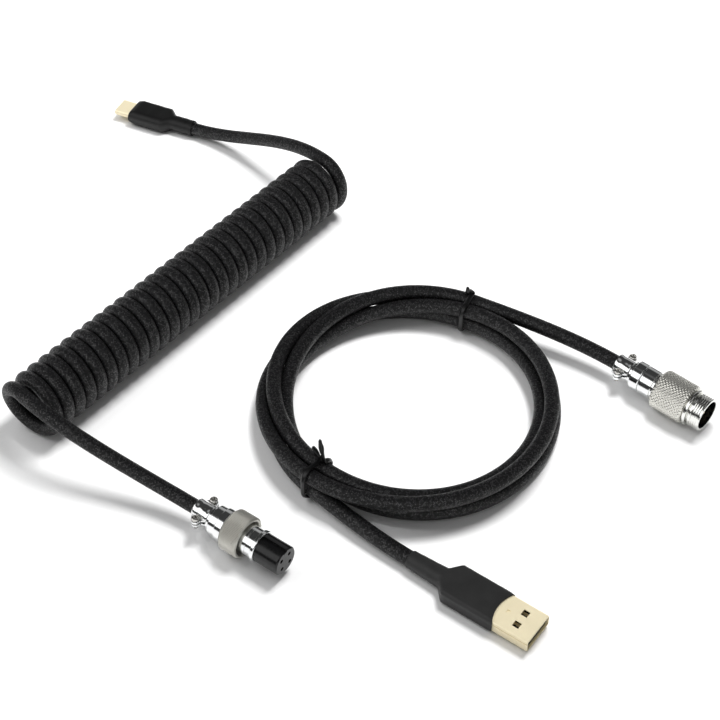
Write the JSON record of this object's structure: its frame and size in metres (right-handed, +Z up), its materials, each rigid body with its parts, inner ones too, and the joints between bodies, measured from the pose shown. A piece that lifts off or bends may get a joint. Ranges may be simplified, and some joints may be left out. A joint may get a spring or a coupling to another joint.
{
  "type": "coiled keyboard cable set",
  "caption": "Detachable braided keyboard cable: a coiled half with a USB-C plug and a screw-locking plug, and a looped straight half with the matching in-line socket and a USB-A plug.",
  "frame": {"origin": "centre of the set's bounding box in X and Y, on the desk surface", "axes": "+X to the right across the set, +Y away along the set's longer side, +Z up from the desk"},
  "size_m": [0.2296, 0.2551, 0.0226],
  "materials": {
    "braided_sleeve": "matte woven braid",
    "cable_jacket": "matte",
    "heat_shrink": "satin matte",
    "chrome_metal": "polished",
    "satin_nickel": "satin knurled",
    "steel_screw": "bright",
    "gold_plate": "polished pale gold",
    "contact_brass": "machined",
    "black_plastic": "gloss",
    "housing_plastic": "moulded",
    "circuit_board": "solder resist",
    "wire_plastic": "extruded",
    "tie_plastic": "plastic-coated wire"
  },
  "bodies": {
    "coil": {"coil_sleeve": "braided_sleeve", "coil_core": "cable_jacket"},
    "plug_lead": {"plug_lead_sleeve": "braided_sleeve", "plug_lead_core": "cable_jacket"},
    "plug": {"plug_back_shell": "chrome_metal", "plug_clamp_bar": "chrome_metal", "plug_clamp_screws": "steel_screw", "plug_barrel": "chrome_metal", "plug_insert": "black_plastic", "plug_contacts": "contact_brass", "plug_wires": "wire_plastic", "plug_grub_screw": "steel_screw"},
    "nut_ring": {"nut_snap_ring": "steel_screw"},
    "nut": {"coupling_nut": "satin_nickel"},
    "usb_c": {"usb_c_lead_sleeve": "braided_sleeve", "usb_c_lead_core": "cable_jacket", "usb_c_shell": "gold_plate", "usb_c_insert": "black_plastic", "usb_c_contacts": "gold_plate", "usb_c_board": "circuit_board", "usb_c_wires": "wire_plastic", "usb_c_housing": "housing_plastic", "usb_c_heat_shrink": "heat_shrink"},
    "loop": {"loop_sleeve": "braided_sleeve", "loop_core": "cable_jacket", "loop_tie_front": "tie_plastic", "loop_tie_rear": "tie_plastic"},
    "socket": {"socket_lead_sleeve": "braided_sleeve", "socket_lead_core": "cable_jacket", "socket_back_shell": "chrome_metal", "socket_clamp_bar": "chrome_metal", "socket_clamp_screws": "steel_screw", "socket_coupler": "chrome_metal", "socket_barrel": "satin_nickel", "socket_insert": "black_plastic", "socket_pins": "contact_brass", "socket_wires": "wire_plastic", "socket_grub_screw": "steel_screw"},
    "usb_a": {"usb_a_lead_sleeve": "braided_sleeve", "usb_a_lead_core": "cable_jacket", "usb_a_shell": "gold_plate", "usb_a_tongue": "black_plastic", "usb_a_contacts": "gold_plate", "usb_a_wires": "wire_plastic", "usb_a_housing": "housing_plastic", "usb_a_heat_shrink": "heat_shrink"}
  },
  "joints": [
    {"name": "coil_stretch", "type": "slide", "parent": "coil", "child": "plug_lead", "axis": [-0.632, -0.7749, 0], "range_m": [0, 0.15], "deforming": ["coil_sleeve", "coil_core"]},
    {"name": "plug_flex", "type": "hinge", "parent": "plug_lead", "child": "plug", "pos_m": [-0.09048, -0.0573, 0.01733], "axis": [0, 0, 1], "range_deg": [-25, 8], "deforming": ["plug_lead_sleeve", "plug_lead_core"]},
    {"name": "nut_slide", "type": "slide", "parent": "plug", "child": "nut_ring", "axis": [0.809, -0.5878, 0], "range_m": [0, 0.008]},
    {"name": "nut_spin", "type": "hinge", "parent": "nut_ring", "child": "nut", "pos_m": [-0.0491, -0.0801, 0.0068], "axis": [0.809, -0.5878, 0], "continuous": true},
    {"name": "usb_c_flex", "type": "hinge", "parent": "coil", "child": "usb_c", "pos_m": [-0.02692, 0.08385, 0.01654], "axis": [0, 0, 1], "range_deg": [-25, 25], "deforming": ["usb_c_lead_sleeve", "usb_c_lead_core"]},
    {"name": "halves_apart", "type": "slide", "parent": "coil", "child": "loop", "axis": [1, 0, 0], "range_m": [0, 0.06]},
    {"name": "socket_flex", "type": "hinge", "parent": "loop", "child": "socket", "pos_m": [0.05412, 0.00052, 0.00823], "axis": [0, 0, 1], "range_deg": [-25, 25], "deforming": ["socket_lead_sleeve", "socket_lead_core"]},
    {"name": "usb_a_flex", "type": "hinge", "parent": "loop", "child": "usb_a", "pos_m": [-0.00707, -0.07759, 0.00401], "axis": [0, 0, 1], "range_deg": [-25, 15], "deforming": ["usb_a_lead_sleeve", "usb_a_lead_core"]}
  ]
}
